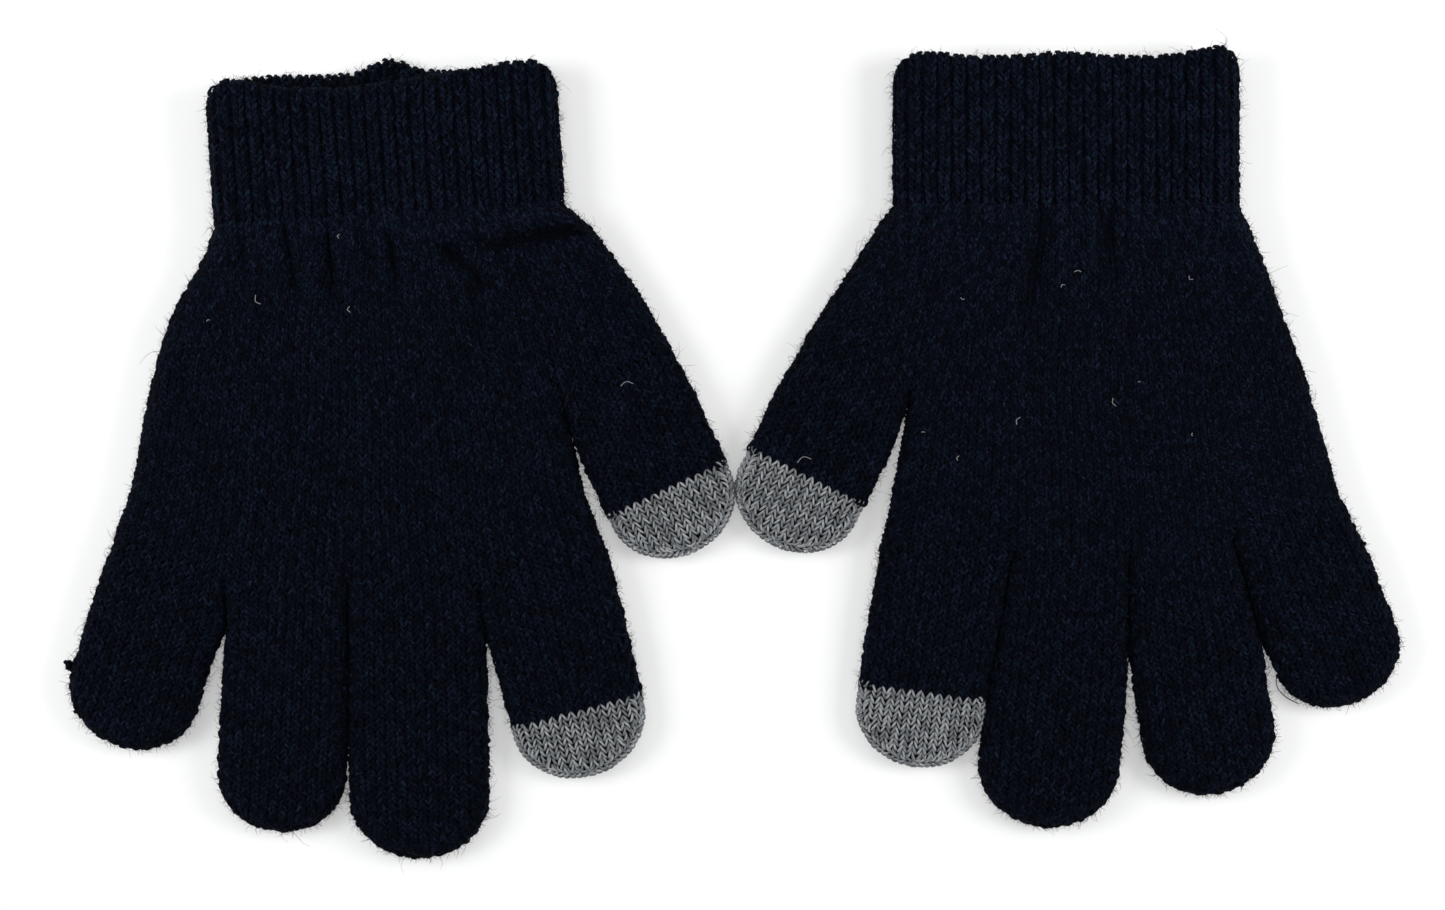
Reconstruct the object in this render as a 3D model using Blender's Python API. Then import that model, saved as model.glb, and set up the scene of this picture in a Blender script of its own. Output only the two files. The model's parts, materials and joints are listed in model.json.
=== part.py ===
"""A pair of knitted touchscreen gloves, lying flat and side by side with their palms up.

Each glove is a set of flattened knitted tubes: a palm, a ribbed cuff with a turned edge and an
elastic yarn laid in it, four finger stalls and a thumb stall. The thumb and the index finger end in
caps of conductive yarn. Every tube is hollow and open where it joins the next one.

Metres, +Z up, the fingers towards -Y and the cuffs towards +Y. The gloves rest on Z = 0.
"""

import math

import bmesh
import bpy
from mathutils import Matrix

MM = 0.001

# Driving dimensions.
WALL = 1.6 * MM  # one layer of knit
BODY_THICK = 9.0 * MM  # a palm or a stall: two layers and the hollow between them
CUFF_THICK = 11.4 * MM
GAP = 0.35 * MM  # between pieces that meet
BODY_EDGE = 3.9 * MM  # radius of a palm's or a stall's side
CUFF_EDGE = 5.2 * MM
EDGE_STEPS = 1  # Blender's bevel resolution for those sides
RUN_ON = 7.0 * MM  # how far a tube is drawn past the plane that cuts it
CUT_REACH = 120.0 * MM  # half the width of a cutting box
TIP_ROUND = 0.42  # a fingertip's rounded length, as a share of its width
TIP_STEPS = 8
WELT = 4.5 * MM  # the cuff's turned edge, along the cuff
ELASTIC_RADIUS = 0.45 * MM
ELASTIC_TURNS = 6
ELASTIC_ARC_STEPS = 4
ELASTIC_FROM, ELASTIC_TO = 4.0 * MM, 25.0 * MM  # along the cuff from its seam
THENAR_SHY = 0.15 * MM  # how much thinner the thumb's root is than the palm it is joined to
PAIR_CENTRE = (-0.36, -0.69)  # millimetres; the middle of the pair's box, which the frame's origin is

# One row for each stall: the middle of its base (mm), its turn from -Y towards +X (degrees), its
# width, its length, and the length of its conductive cap (0 for none). A stall is as wide as its
# share of the knuckles, so that stalls clear one another when they all bend.
# The palms' outlines run anticlockwise and past the planes that cut them.
GLOVES = {
    "left": {
        "stalls": {
            "little": ((-135.0, -28.2), -20.0, 28.6, 43.7, 0.0),
            "ring": ((-106.6, -32.6), -4.0, 28.4, 58.0, 0.0),
            "middle": ((-76.7, -31.0), 1.0, 30.4, 66.0, 0.0),
            "index": ((-46.0, -28.6), 15.0, 31.0, 50.0, 15.2),
            "thumb": ((-29.2, 19.0), 25.0, 28.8, 46.6, 15.7),
        },
        "palm": [
            (-124.8, 64.0), (-124.3, 54.1), (-132.2, 38.3), (-138.7, 21.0), (-142.6, 1.8),
            (-148.2, -21.0), (-151.5, -31.0), (-119.0, -43.0), (-76.0, -40.0), (-44.0, -39.0),
            (-29.0, -32.5), (-32.0, -23.0), (-34.6, -16.0), (-37.8, -7.0), (-39.8, 2.0),
            (-43.0, 13.5), (-42.0, 40.0), (-41.3, 59.6), (-41.6, 66.0),
        ],
        "thenar": [
            (-60.0, 50.0), (-60.0, 22.0), (-46.5, 15.5), (-39.0, 6.6), (-12.6, 18.8),
            (-15.6, 25.2), (-23.5, 39.2), (-29.0, 47.9), (-35.5, 54.0), (-44.0, 58.0),
        ],
        "cuff": {"seam": (-82.8, 56.9), "turn": 3.7, "width": 83.4, "length": 33.0, "gape": 31.0},
    },
    "right": {
        "stalls": {
            "index": ((50.4, -25.6), -8.0, 30.6, 50.0, 17.3),
            "middle": ((80.0, -25.7), -4.0, 27.4, 64.0, 0.0),
            "ring": ((106.2, -23.2), 10.3, 24.2, 59.0, 0.0),
            "little": ((131.6, -14.8), 23.0, 27.0, 48.0, 0.0),
            "thumb": ((30.1, 21.0), -26.0, 28.8, 47.6, 17.6),
        },
        "palm": [
            (38.6, 66.0), (38.4, 59.9), (42.0, 40.0), (43.9, 15.6), (42.6, 9.0), (40.6, 0.6),
            (39.0, -7.0), (37.4, -14.0), (35.4, -22.0), (33.0, -32.0), (50.0, -37.0),
            (80.0, -36.0), (108.0, -34.0), (136.0, -24.0), (148.5, -16.0), (144.6, -9.1),
            (139.9, 6.4), (136.6, 18.6), (131.0, 34.0), (127.1, 44.8), (120.4, 57.5),
            (120.2, 66.0),
        ],
        "thenar": [
            (40.0, 57.5), (36.0, 55.8), (27.6, 41.6), (17.1, 27.1), (14.1, 20.9), (39.4, 8.6),
            (47.5, 15.5), (60.0, 22.0), (60.0, 50.0),
        ],
        "cuff": {"seam": (79.3, 59.1), "turn": 0.0, "width": 82.2, "length": 35.5, "gape": 4.0},
    },
}

# Colour, roughness and metallic value of each kind of yarn.
YARNS = {
    "black_knit": ((0.010, 0.011, 0.014), 0.95, 0.0),
    "black_rib": ((0.009, 0.010, 0.012), 0.95, 0.0),
    "grey_conductive_knit": ((0.205, 0.205, 0.210), 0.80, 0.0),
    "elastic_yarn": ((0.020, 0.020, 0.022), 0.60, 0.0),
}


def start_empty():
    """Removes what the scene holds and returns the collections for the parts and the cutters."""
    for found in list(bpy.data.objects):
        bpy.data.objects.remove(found, do_unlink=True)
    made = []
    for name in ("touchscreen_gloves", "cutters"):
        made.append(bpy.data.collections.new(name))
        bpy.context.scene.collection.children.link(made[-1])
    return made


PARTS, CUTTERS = start_empty()


def yarn_material(name, kind):
    """A material of a piece's own, in its yarn's colour."""
    colour, roughness, metallic = YARNS[kind]
    material = bpy.data.materials.new(name)
    material.use_nodes = True
    shader = material.node_tree.nodes["Principled BSDF"]
    shader.inputs["Base Color"].default_value = (*colour, 1.0)
    shader.inputs["Roughness"].default_value = roughness
    shader.inputs["Metallic"].default_value = metallic
    material.diffuse_color = (*colour, 1.0)
    return material


def pair_point(point):
    """A point of the tables above, in metres from the frame's origin."""
    return (point[0] - PAIR_CENTRE[0]) * MM, (point[1] - PAIR_CENTRE[1]) * MM


def hinge_empty(name, point, turn, height, parent=None):
    """An empty on a joint's axis, which is its own X axis."""
    empty = bpy.data.objects.new(name, None)
    empty.empty_display_size = 0.01
    empty.location = (*pair_point(point), height)
    empty.rotation_euler.z = math.radians(turn)
    empty.parent = parent
    PARTS.objects.link(empty)
    return empty


def hang(thing, empty, collection):
    """Puts a mesh drawn on the floor plane of an empty's own frame under that empty."""
    if empty is not None:
        thing.parent = empty
        thing.location.z = -empty.location.z
    collection.objects.link(thing)
    if collection is CUTTERS:
        thing.hide_render = True
        thing.display_type = "WIRE"
    return thing


def curve_to_mesh(name, curve, lift=0.0):
    """The mesh of a curve with its caps welded, raised by lift."""
    drawn = bpy.data.objects.new(name, curve)
    bpy.context.scene.collection.objects.link(drawn)
    bpy.context.view_layer.update()
    shaped = drawn.evaluated_get(bpy.context.evaluated_depsgraph_get())
    mesh = bpy.data.meshes.new_from_object(shaped)
    mesh.transform(drawn.matrix_world)
    mesh.transform(Matrix.Translation((0.0, 0.0, lift)))
    bpy.data.objects.remove(drawn, do_unlink=True)
    cage = bmesh.new()
    cage.from_mesh(mesh)
    bmesh.ops.remove_doubles(cage, verts=cage.verts, dist=1e-6)
    bmesh.ops.recalc_face_normals(cage, faces=cage.faces)
    cage.to_mesh(mesh)
    cage.free()
    mesh.name = name
    return mesh


def pad_mesh(name, outline, low, high, edge, inset=0.0):
    """A flat solid between two heights with rounded sides, drawn inside an outline by inset."""
    curve = bpy.data.curves.new(name, "CURVE")
    curve.dimensions = "2D"
    curve.fill_mode = "BOTH"
    curve.extrude = (high - low) / 2 - edge
    curve.bevel_depth = edge
    curve.bevel_resolution = EDGE_STEPS
    curve.offset = -(edge + inset)
    spline = curve.splines.new("POLY")
    spline.points.add(len(outline) - 1)
    for point, (x, y) in zip(spline.points, outline, strict=True):
        point.co = (x, y, 0.0, 1.0)
    spline.use_cyclic_u = True
    return curve_to_mesh(name, curve, (low + high) / 2)


def shell_meshes(name, outline, thick, edge, shy=0.0):
    """The outside of a flattened tube and the hollow to cut from it."""
    outside = pad_mesh(name, outline, shy, thick - shy, edge)
    hollow = pad_mesh(
        f"{name}_hollow", outline, WALL + shy, thick - WALL - shy, edge - WALL, WALL
    )
    return outside, hollow


def cutting_box(name, near, sign, empty, lean=0.0):
    """A big box on one side of the plane Y = near of an empty's frame, towards sign * Y.

    lean turns it about X, in degrees, at mid-height of the cuff.
    """
    cage = bmesh.new()
    bmesh.ops.create_cube(cage, size=1.0)
    mesh = bpy.data.meshes.new(name)
    cage.to_mesh(mesh)
    cage.free()
    deep = CUT_REACH
    mesh.transform(Matrix.Diagonal((2 * CUT_REACH, deep, 2 * CUT_REACH, 1.0)))
    mesh.transform(Matrix.Translation((0.0, sign * deep / 2, 0.0)))
    mesh.transform(Matrix.Rotation(math.radians(lean), 4, "X"))
    mesh.transform(Matrix.Translation((0.0, near, CUFF_THICK / 2)))
    return hang(bpy.data.objects.new(name, mesh), empty, CUTTERS)


def boolean(thing, operation, tool):
    step = thing.modifiers.new(f"{operation.lower()}_{tool.name}", "BOOLEAN")
    step.operation = operation
    step.object = tool
    step.solver = "EXACT"


def finish_piece(thing, kind):
    thing.data.materials.clear()
    thing.data.materials.append(yarn_material(thing.name, kind))
    thing.data.shade_smooth()
    thing.data.set_sharp_from_angle(angle=math.radians(40))


def stall_outline(width, length):
    """A stall from above, tip towards -Y, its base on Y = 0 and run on behind it."""
    half = width / 2
    straight = length - TIP_ROUND * width
    side = [(-half, RUN_ON), (-half, -straight)]
    angles = [math.pi * step / TIP_STEPS for step in range(1, TIP_STEPS)]
    tip = [(-half * math.cos(a), -straight - TIP_ROUND * width * math.sin(a)) for a in angles]
    return side + tip + [(-x, y) for x, y in reversed(side)]


def build_stall(hand, finger, row, root):
    """A stall and, where it has one, its conductive cap. Returns the empty at its base."""
    base_point, turn, width, length, cap = row
    name = f"{hand}_{finger}"
    knuckle = hinge_empty(f"{name}_knuckle", base_point, turn, BODY_THICK, root)
    outline = stall_outline(width * MM, length * MM)
    outside, hollow_mesh = shell_meshes(name, outline, BODY_THICK, BODY_EDGE)
    hollow = hang(bpy.data.objects.new(f"{name}_hollow", hollow_mesh), knuckle, CUTTERS)
    behind = cutting_box(f"{name}_behind_base", -GAP / 2, 1, knuckle)
    stall = hang(bpy.data.objects.new(name, outside), knuckle, PARTS)
    boolean(stall, "DIFFERENCE", hollow)
    boolean(stall, "DIFFERENCE", behind)
    if cap:
        line = (cap - length) * MM
        touch_tip = hang(
            bpy.data.objects.new(f"{name}_touch_tip", outside.copy()), knuckle, PARTS
        )
        boolean(touch_tip, "DIFFERENCE", hollow)
        above = cutting_box(f"{name}_above_cap", line - GAP / 2, 1, knuckle)
        below = cutting_box(f"{name}_below_stall", line + GAP / 2, -1, knuckle)
        boolean(touch_tip, "DIFFERENCE", above)
        boolean(stall, "DIFFERENCE", below)
        finish_piece(touch_tip, "grey_conductive_knit")
    finish_piece(stall, "black_knit")
    return knuckle


def build_palm(hand, glove, root, knuckles, wrist):
    """The palm with the thumb's root, open to the cuff and to every stall."""
    name = f"{hand}_palm"
    outline = [pair_point(p) for p in glove["palm"]]
    root_outline = [pair_point(p) for p in glove["thenar"]]
    outside, hollow_mesh = shell_meshes(name, outline, BODY_THICK, BODY_EDGE)
    thenar_mesh, thenar_hollow_mesh = shell_meshes(
        f"{hand}_thenar", root_outline, BODY_THICK, BODY_EDGE, THENAR_SHY
    )
    palm = hang(bpy.data.objects.new(name, outside), None, PARTS)
    palm.parent = root
    thenar = hang(bpy.data.objects.new(f"{hand}_thenar", thenar_mesh), None, CUTTERS)
    boolean(thenar, "DIFFERENCE", cutting_box(f"{hand}_thumb_side", GAP / 2, -1, knuckles["thumb"]))
    boolean(palm, "UNION", thenar)
    for tool_name, mesh in (("palm_hollow", hollow_mesh), ("thenar_hollow", thenar_hollow_mesh)):
        tool = hang(bpy.data.objects.new(f"{hand}_{tool_name}", mesh), None, CUTTERS)
        boolean(palm, "DIFFERENCE", tool)
    for finger, knuckle in knuckles.items():
        if finger != "thumb":
            side = cutting_box(f"{hand}_{finger}_side", GAP / 2, -1, knuckle)
            boolean(palm, "DIFFERENCE", side)
    boolean(palm, "DIFFERENCE", cutting_box(f"{hand}_cuff_side", -GAP / 2, 1, wrist))
    finish_piece(palm, "black_knit")


def elastic_curve(name, half_width, half_height):
    """A yarn wound round the inside of a cuff: flat across, and round at both sides."""
    across = half_width - half_height
    turn_points = []
    for side in (1, -1):
        for step in range(ELASTIC_ARC_STEPS + 1):
            angle = side * math.pi * (step / ELASTIC_ARC_STEPS - 0.5)
            turn_points.append(
                (side * (across + half_height * math.cos(angle)), half_height * math.sin(angle))
            )
    count = ELASTIC_TURNS * len(turn_points) + 1
    curve = bpy.data.curves.new(name, "CURVE")
    curve.dimensions = "3D"
    curve.bevel_depth = ELASTIC_RADIUS
    curve.bevel_resolution = 2
    curve.use_fill_caps = True
    spline = curve.splines.new("POLY")
    spline.points.add(count - 1)
    for index, point in enumerate(spline.points):
        x, z = turn_points[index % len(turn_points)]
        along = ELASTIC_FROM + (ELASTIC_TO - ELASTIC_FROM) * index / (count - 1)
        point.co = (x, along, z, 1.0)
    return curve


def build_cuff(hand, cuff, root):
    """The ribbed cuff, its turned edge and its elastic yarn. Returns the empty at its seam."""
    wrist = hinge_empty(f"{hand}_wrist", cuff["seam"], cuff["turn"], CUFF_THICK, root)
    half, length = cuff["width"] / 2 * MM, cuff["length"] * MM
    lean = cuff["gape"]
    far = length + 2 * RUN_ON
    outline = [(-half, -RUN_ON), (half, -RUN_ON), (half, far), (-half, far)]
    outside, hollow_mesh = shell_meshes(f"{hand}_cuff", outline, CUFF_THICK, CUFF_EDGE)
    hollow = hang(bpy.data.objects.new(f"{hand}_cuff_hollow", hollow_mesh), wrist, CUTTERS)
    tube = hang(bpy.data.objects.new(f"{hand}_cuff", outside), wrist, PARTS)
    welt = hang(bpy.data.objects.new(f"{hand}_cuff_welt", outside.copy()), wrist, PARTS)
    seam_side = cutting_box(f"{hand}_seam_side", GAP / 2, -1, wrist)
    mouth = cutting_box(f"{hand}_mouth", length, 1, wrist, lean)
    welt_line = length - WELT
    past_cuff = cutting_box(f"{hand}_past_cuff", welt_line - GAP, 1, wrist, lean)
    before_welt = cutting_box(f"{hand}_before_welt", welt_line, -1, wrist, lean)
    for thing, tools in ((tube, (seam_side, past_cuff)), (welt, (mouth, before_welt))):
        boolean(thing, "DIFFERENCE", hollow)
        for tool in tools:
            boolean(thing, "DIFFERENCE", tool)
        finish_piece(thing, "black_rib")
    name = f"{hand}_cuff_elastic"
    off_wall = WALL + GAP + ELASTIC_RADIUS
    curve = elastic_curve(name, half - off_wall, CUFF_THICK / 2 - off_wall)
    elastic_mesh = curve_to_mesh(name, curve, CUFF_THICK / 2)
    elastic = hang(bpy.data.objects.new(name, elastic_mesh), wrist, PARTS)
    finish_piece(elastic, "elastic_yarn")
    return wrist


def build_glove(hand, glove):
    root = bpy.data.objects.new(f"{hand}_glove", None)
    PARTS.objects.link(root)
    wrist = build_cuff(hand, glove["cuff"], root)
    knuckles = {
        finger: build_stall(hand, finger, row, root) for finger, row in glove["stalls"].items()
    }
    build_palm(hand, glove, root, knuckles, wrist)


for hand_name, hand_glove in GLOVES.items():
    build_glove(hand_name, hand_glove)
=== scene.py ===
"""The looks of a pair of knitted touchscreen gloves, lying flat with their palms up.

Every stitch is two arms of real yarn, laid over the soft shape of its piece: palms whose columns
of stitches fan out to the fingers, stalls that are flattened tubes, ribbed cuffs with a rolled
edge, and crisp grey caps. Under the yarn lies an inner face, painted dark as the shade between
the stitches, and fibres stand out of it.

Lengths are in millimetres until a mesh is made, from the frame's origin, with +Z up, the fingers
towards -Y and the cuffs towards +Y.
"""

import json
import math
from functools import partial

import bpy
import numpy as np
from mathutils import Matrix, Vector


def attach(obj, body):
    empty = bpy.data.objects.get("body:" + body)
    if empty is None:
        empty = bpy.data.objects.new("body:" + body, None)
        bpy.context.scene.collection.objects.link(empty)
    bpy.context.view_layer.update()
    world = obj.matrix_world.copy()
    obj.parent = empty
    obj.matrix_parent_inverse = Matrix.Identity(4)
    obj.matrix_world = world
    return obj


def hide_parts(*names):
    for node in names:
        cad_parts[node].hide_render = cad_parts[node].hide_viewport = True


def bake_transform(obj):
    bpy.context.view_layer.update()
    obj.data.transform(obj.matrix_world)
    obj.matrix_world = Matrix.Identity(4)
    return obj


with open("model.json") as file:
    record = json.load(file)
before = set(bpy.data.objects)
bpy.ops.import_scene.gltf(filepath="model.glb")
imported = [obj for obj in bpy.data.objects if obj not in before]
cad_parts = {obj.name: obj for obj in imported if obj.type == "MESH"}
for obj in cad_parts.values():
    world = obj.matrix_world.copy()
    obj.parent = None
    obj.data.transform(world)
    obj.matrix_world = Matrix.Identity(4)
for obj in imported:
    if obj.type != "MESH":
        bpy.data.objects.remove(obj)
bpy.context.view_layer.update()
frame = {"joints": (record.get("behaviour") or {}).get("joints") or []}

MM = 0.001
RNG = np.random.default_rng(41)

# The knit. A wale is a column of stitches and a course is a row of them.
WALES = 13  # across a finger, and across a palm for each finger
CAP_WALES = 13
COURSE = 1.38
YARN = 0.5  # radius of the black yarn
GREY_YARN = 0.29  # radius of the grey yarn
EDGE_INSET = 0.65  # from an outline to the middle of the yarn that lies along it
RIM = 4.2  # how far in from an outline a piece is rounded
HALF = 4.0  # half the thickness of a palm, between the middles of its two layers
TIP_HALF = 3.3  # the same at a fingertip
CUFF_HALF = 5.2
RIBS = 50  # round a cuff
LINING = 0.45  # from the middle of the yarn to the inner face under it
SIDE_ANGLES = (-50.0, -25.0, 0.0, 25.0, 50.0)  # the wales that close a flattened tube's side
SIDE_JITTER = 0.16
SIDE_KEPT = 0.25  # stitches of the flat faces nearer to the outline than this give way to those
SIDE_TWIST = 0.6  # how unevenly the stitches there are turned, in radians
CAP_ANGLES = (-40.0, 0.0, 40.0)  # the same of the grey caps
CAP_KEPT = 1.0
CAP_TWIST = 0.12
CROTCH_CREASE = 0.5  # how deep the crease between two fingers is where it starts, 1 being a gap
TIP_ROUND = 0.42  # a fingertip's rounded length, as a share of its width
ORIGIN = np.array((0.36, 0.69))  # added to the outline points below

# The gloves' outlines from above. "knuckles" runs along the roots of the fingers from -X to +X.
# Each side of a palm is in two stretches: "low" up to the thumb's crotch, and "high" from there to
# the cuff. A finger's row is its width, its length, the length of its grey cap, how far its tip
# strays to +X, and on each side where it parts from its neighbour (None: from its root).
GLOVES = {
    "left": {
        "knuckles": [(-148.5, -20.0), (-122.2, -34.0), (-92.6, -31.5), (-61.5, -33.0), (-30.5, -25.0)],
        "low_left": [(-148.5, -20.0), (-144.5, -8.5), (-142.6, 1.8), (-140.6, 11.9)],
        "low_right": [(-30.5, -25.0), (-34.1, -16.2), (-37.2, -7.1), (-39.1, 2.1), (-42.0, 13.0)],
        "high_left": [
            (-140.6, 11.9), (-138.7, 21.0), (-136.1, 29.9), (-132.2, 38.3), (-127.7, 46.0),
            (-124.4, 54.2),
        ],
        "high_right": [
            (-15.6, 25.1), (-23.8, 39.0), (-29.6, 47.4), (-34.8, 54.2), (-41.2, 59.6),
        ],
        "thumb_side": "right",
        "fingers": {
            "little": (31.2, 43.9, 0.0, 1.2, None, (-121.9, -40.7)),
            "ring": (30.4, 58.1, 0.0, 0.9, (-121.9, -40.7), (-92.9, -63.7)),
            "middle": (33.2, 66.1, 0.0, 0.0, (-92.9, -63.7), (-59.8, -43.1)),
            "index": (32.3, 50.2, 15.2, -1.2, (-59.8, -43.1), None),
            "thumb": (31.3, 46.9, 15.7, -0.1, None, None),
        },
        "cuff": {"width": 83.4, "length": 32.4},
    },
    "right": {
        "knuckles": [(35.0, -23.5), (66.0, -26.0), (94.3, -26.0), (119.0, -20.5), (144.3, -9.3)],
        "low_left": [(35.0, -23.5), (37.4, -13.8), (38.6, -6.8), (40.1, 0.6), (42.5, 14.8)],
        "low_right": [(144.3, -9.3), (139.9, 6.4), (138.0, 13.0)],
        "high_left": [(17.1, 27.1), (26.4, 42.0), (35.2, 55.4), (38.2, 59.1)],
        "high_right": [
            (138.0, 13.0), (136.6, 18.6), (131.0, 34.0), (127.1, 44.8), (123.1, 54.1), (120.4, 59.1),
        ],
        "thumb_side": "left",
        "fingers": {
            "index": (31.7, 50.2, 17.3, -0.5, None, (60.6, -62.0)),
            "middle": (33.5, 64.1, 0.0, -1.2, (60.6, -62.0), (94.5, -46.1)),
            "ring": (31.4, 59.2, 0.0, -0.6, (94.5, -46.1), (126.2, -43.6)),
            "little": (30.2, 48.2, 0.0, -0.7, (126.2, -43.6), None),
            "thumb": (31.0, 47.9, 17.6, 0.1, None, None),
        },
        "cuff": {"width": 82.2, "length": 34.8},
    },
}

# Folds in the upper layer: from, to, half-width and depth.
FOLDS = {
    "left": [
        ((-107.0, 53.0), (-103.5, 28.0), 1.8, 2.6), ((-97.0, 53.0), (-95.5, 27.0), 1.7, 2.8),
        ((-88.5, 53.0), (-87.0, 36.0), 1.7, 2.0), ((-82.0, 50.0), (-80.0, 29.0), 2.0, 2.6),
        ((-69.0, 48.5), (-51.0, 33.5), 2.0, 3.4), ((-61.5, 40.0), (-60.0, 20.0), 2.0, 1.8),
        ((-36.5, 53.5), (-71.0, 47.0), 2.4, 3.8), ((-117.0, 51.0), (-117.5, 36.0), 2.2, 1.6),
        ((-55.0, 46.0), (-46.0, 33.0), 3.0, 1.6),
    ],
    "right": [
        ((74.0, 60.0), (68.0, 20.0), 3.0, 2.6), ((88.0, 61.0), (91.5, 32.0), 3.0, 2.4),
        ((56.0, 60.0), (53.0, 38.0), 2.8, 1.1), ((104.0, 60.0), (107.0, 38.0), 2.6, 1.2),
        ((46.0, 57.0), (37.0, 40.0), 3.0, 1.2),
    ],
}

# Bits of pale lint on the palms and thumbs: place, length and heading in degrees.
LINT = {
    "left": [
        ((-94.1, 51.5), 1.0, 80.0), ((-92.1, 34.3), 1.5, 95.0), ((-113.9, 36.5), 2.4, 120.0),
        ((-125.6, 31.7), 0.8, 20.0), ((-25.8, 16.5), 3.0, 10.0),
    ],
    "right": [
        ((54.2, 36.9), 1.0, 160.0), ((81.6, 43.2), 1.7, 0.0), ((78.0, 40.0), 1.1, 30.0),
        ((108.5, 41.7), 1.3, 140.0), ((96.3, 17.0), 0.6, 0.0), ((67.4, 7.8), 1.9, 65.0),
        ((53.1, -1.1), 1.2, 70.0), ((44.8, 5.0), 0.8, 0.0), ((108.9, 4.5), 0.7, 90.0),
        ((90.3, 12.2), 2.0, 110.0), ((16.4, -1.5), 3.4, 15.0),
    ],
}
LOOSE_FIBRE = ((130.3, -53.2, 3.0), (131.0, -56.5, 1.2), (133.2, -58.9, 0.7), (136.0, -60.4, 1.5))
KNOT = (-159.4, -50.2, 4.2)  # a nub of yarn on the side of the left little finger

FLOOR_GAP = 0.05  # nothing reaches lower
WAVE = 0.4  # how uneven a glove's upper layer is
WAVE_LENGTH = 11.0
LINT_RADIUS = 0.08
LINT_HEIGHT = 1.0  # over the middle of the yarn
LINT_TONE = 2.0
FOLD_SHADE = 0.85  # how much darker painted shade makes the bottom of a fold
# how deep a fold is where its painted shade is full
DEEP_FOLD = 2.4
BLACK_RING = np.radians((-100.0, -36.0, 36.0, 100.0))  # half-round yarn, from side to side
GREY_RING = np.radians((-105.0, -63.0, -21.0, 21.0, 63.0, 105.0))


# Curves and surfaces


def smooth(t):
    t = np.clip(t, 0.0, 1.0)
    return t * t * (3.0 - 2.0 * t)


def unit(vectors):
    return vectors / np.maximum(np.linalg.norm(vectors, axis=-1, keepdims=True), 1e-9)


def placed(points):
    """Outline points in the frame's millimetres."""
    return np.array(points, float) + ORIGIN


def evenly(points, count):
    """count points spread evenly along a polyline."""
    steps = np.linalg.norm(np.diff(points, axis=0), axis=1)
    at = np.concatenate(([0.0], np.cumsum(steps)))
    wanted = np.linspace(0.0, at[-1], count)
    return np.stack([np.interp(wanted, at, points[:, k]) for k in range(points.shape[1])], 1)


def by_course(points):
    """Points a course apart along a polyline."""
    reach = np.linalg.norm(np.diff(points, axis=0), axis=1).sum()
    return evenly(points, max(3, round(reach / COURSE)))


def flowing(points, count):
    """count points spread evenly along a smooth curve through the given ones."""
    padded = np.concatenate(([2 * points[0] - points[1]], points, [2 * points[-1] - points[-2]]))
    t = np.linspace(0.0, 1.0, 12, endpoint=False)[:, None]
    runs = []
    for a, b, c, d in zip(padded, padded[1:], padded[2:], padded[3:], strict=False):
        runs.append(
            0.5 * (2 * b + (c - a) * t + (2 * a - 5 * b + 4 * c - d) * t**2
                   + (3 * b - a - 3 * c + d) * t**3)
        )
    return evenly(np.concatenate([*runs, points[-1:]]), count)


def distance_to(points, line):
    """How far points (..., 2) are from a polyline, and how far along it the nearest place is."""
    start, step = line[:-1], np.diff(line, axis=0)
    length = np.linalg.norm(step, axis=1)
    away = points[..., None, :] - start
    t = np.clip((away * step).sum(-1) / np.maximum(length**2, 1e-9), 0.0, 1.0)
    gap = np.linalg.norm(away - t[..., None] * step, axis=-1)
    nearest = gap.argmin(-1)[..., None]
    before = np.concatenate(([0.0], np.cumsum(length)))[:-1]
    along = before + t * length
    return tuple(np.take_along_axis(values, nearest, -1)[..., 0] for values in (gap, along))


def coons(bottom, top, left, right):
    """A grid of points between four edges that meet at their ends."""
    s = np.linspace(0.0, 1.0, len(bottom))[None, :, None]
    t = np.linspace(0.0, 1.0, len(left))[:, None, None]
    ruled = (1 - t) * bottom[None] + t * top[None] + (1 - s) * left[:, None] + s * right[:, None]
    corners = (1 - t) * ((1 - s) * bottom[0] + s * bottom[-1]) + t * ((1 - s) * top[0] + s * top[-1])
    return ruled - corners


def rounding(distance, rim=RIM):
    """The share of its full height that a piece has at a distance in from its outline."""
    return np.sqrt(np.maximum(1.0 - (1.0 - np.clip(distance / rim, 0.0, 1.0)) ** 2, 0.0))


def ripple(points, scale, seed):
    """A gentle unevenness between about -1 and 1."""
    phase = np.random.default_rng(seed).uniform(0.0, 2 * math.pi, 6)
    x, y = points[..., 0] / scale, points[..., 1] / scale
    waves = np.sin(1.0 * x + 0.6 * y + phase[0]) + np.sin(-0.7 * x + 1.1 * y + phase[1])
    waves = waves + 0.6 * np.sin(1.9 * x - 1.3 * y + phase[2]) + 0.5 * np.sin(2.3 * y + phase[3])
    return waves / 3.0


def bell(x, middle, wide):
    return np.exp(-(((x - middle) / wide) ** 2))


def unevenness(points):
    """How much higher than flat the upper layer of a glove lies."""
    return WAVE * ripple(points, WAVE_LENGTH, 3)


# Yarn. A set of stitches has a row for each stitch of its middle, its wide and its high, the way
# out of the fabric, and how bright it is, which carries painted shade in folds and sunken ribs and
# painted light on raised ribs and near the cuff.


def stitches_on(nodes, side, kept, shade):
    """One stitch in each kept cell of a grid of 3-D points whose rows run towards the cuff."""
    low, high = nodes[:-1], nodes[1:]
    middle = (low[:, :-1] + low[:, 1:] + high[:, :-1] + high[:, 1:]) / 4
    across = (low[:, 1:] - low[:, :-1] + high[:, 1:] - high[:, :-1]) / 2
    along = (high[:, :-1] - low[:, :-1] + high[:, 1:] - low[:, 1:]) / 2
    out = unit(np.cross(across, along)) * side
    return {
        "at": middle[kept], "across": across[kept], "along": along[kept], "out": out[kept],
        "shade": shade[kept],
    }


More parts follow.
